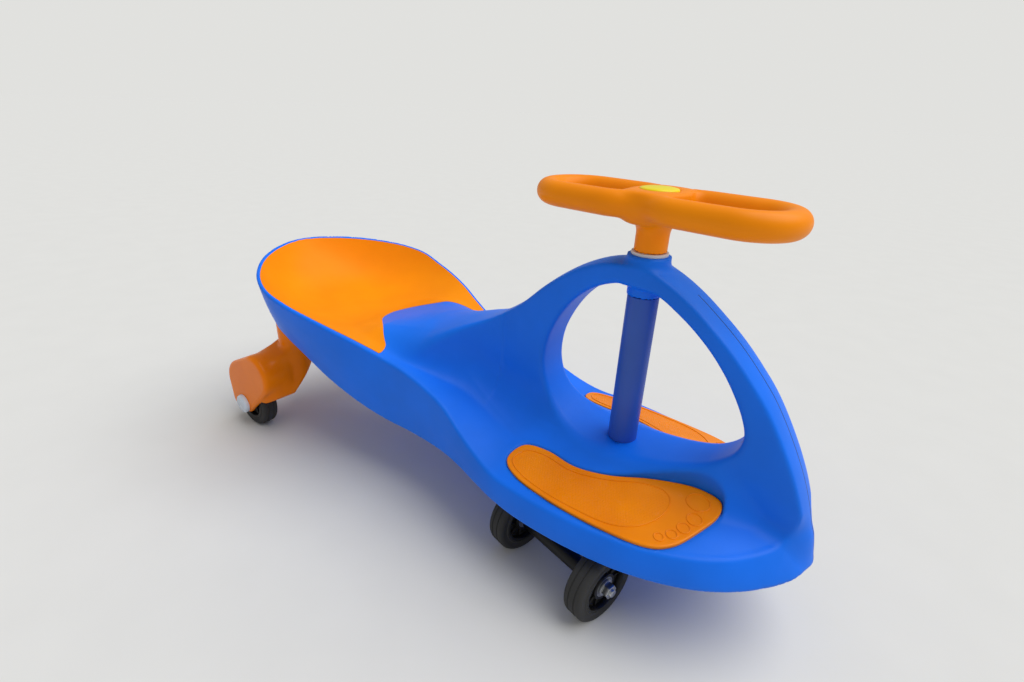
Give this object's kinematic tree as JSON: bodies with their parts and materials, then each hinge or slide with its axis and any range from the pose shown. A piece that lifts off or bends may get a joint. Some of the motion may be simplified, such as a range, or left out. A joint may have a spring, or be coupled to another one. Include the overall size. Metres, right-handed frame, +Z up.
{
  "type": "wiggle car",
  "caption": "Ride-on wiggle car with a moulded seat body, an arch carrying a turning steering column, an offset front axle and trailing rear wheels.",
  "frame": {"origin": "on the floor, under the middle of the car's overall box", "axes": "+X towards the nose, +Y towards the car's left, +Z up"},
  "size_m": [0.77, 0.3118, 0.4013],
  "materials": {
    "shell_blue": "satin moulded",
    "seat_orange": "satin moulded",
    "pad_orange": "gloss, fine pebble relief",
    "grip_orange": "smooth satin gloss",
    "leg_orange": "gloss moulded",
    "sleeve_blue": "satin moulded",
    "cap_yellow": "gloss",
    "cap_white": "gloss",
    "bush_grey": "plain",
    "frame_black": "black powder coat",
    "shaft_steel": "plain drawn",
    "zinc_steel": "zinc plated",
    "bearing_steel": "ground",
    "tyre_black": "moulded",
    "hub_black": "moulded"
  },
  "bodies": {
    "car_body": {"body_shell": "shell_blue", "seat_pad": "seat_orange", "foot_pad_right": "pad_orange", "foot_pad_left": "pad_orange", "column_sleeve": "sleeve_blue", "upper_bush": "bush_grey", "lower_bush": "bush_grey", "rear_leg_right": "leg_orange", "rear_leg_left": "leg_orange", "leg_screws": "zinc_steel", "rear_axle_right": "zinc_steel", "rear_axle_left": "zinc_steel", "rear_nuts": "zinc_steel", "axle_cap_right": "cap_white", "axle_cap_left": "cap_white"},
    "steering": {"steering_wheel": "grip_orange", "hub_cap": "cap_yellow", "wheel_nut": "zinc_steel", "steering_shaft": "shaft_steel", "axle_frame": "frame_black", "front_axles": "zinc_steel", "front_spacers": "zinc_steel", "front_washers": "zinc_steel", "front_nuts": "zinc_steel"},
    "front_wheel_a": {"front_tyre_a": "tyre_black", "front_hub_a": "hub_black", "front_bearings_a": "bearing_steel"},
    "front_wheel_b": {"front_tyre_b": "tyre_black", "front_hub_b": "hub_black", "front_bearings_b": "bearing_steel"},
    "rear_wheel_right": {"rear_tyre_right": "tyre_black", "rear_hub_right": "hub_black", "rear_bearings_right": "bearing_steel"},
    "rear_wheel_left": {"rear_tyre_left": "tyre_black", "rear_hub_left": "hub_black", "rear_bearings_left": "bearing_steel"}
  },
  "joints": [
    {"name": "steering_turn", "type": "hinge", "parent": "car_body", "child": "steering", "pos_m": [0.188, 0, 0.2], "axis": [0, 0, 1], "continuous": true},
    {"name": "front_spin_a", "type": "hinge", "parent": "steering", "child": "front_wheel_a", "pos_m": [0.22446, -0.09771, 0.039], "axis": [0.9744, -0.225, 0], "continuous": true},
    {"name": "front_spin_b", "type": "hinge", "parent": "steering", "child": "front_wheel_b", "pos_m": [0.1124, -0.07184, 0.039], "axis": [0.9744, -0.225, 0], "continuous": true},
    {"name": "rear_spin_right", "type": "hinge", "parent": "car_body", "child": "rear_wheel_right", "pos_m": [-0.345, -0.13, 0.039], "axis": [0, 1, 0], "continuous": true},
    {"name": "rear_spin_left", "type": "hinge", "parent": "car_body", "child": "rear_wheel_left", "pos_m": [-0.345, 0.13, 0.039], "axis": [0, 1, 0], "continuous": true}
  ]
}
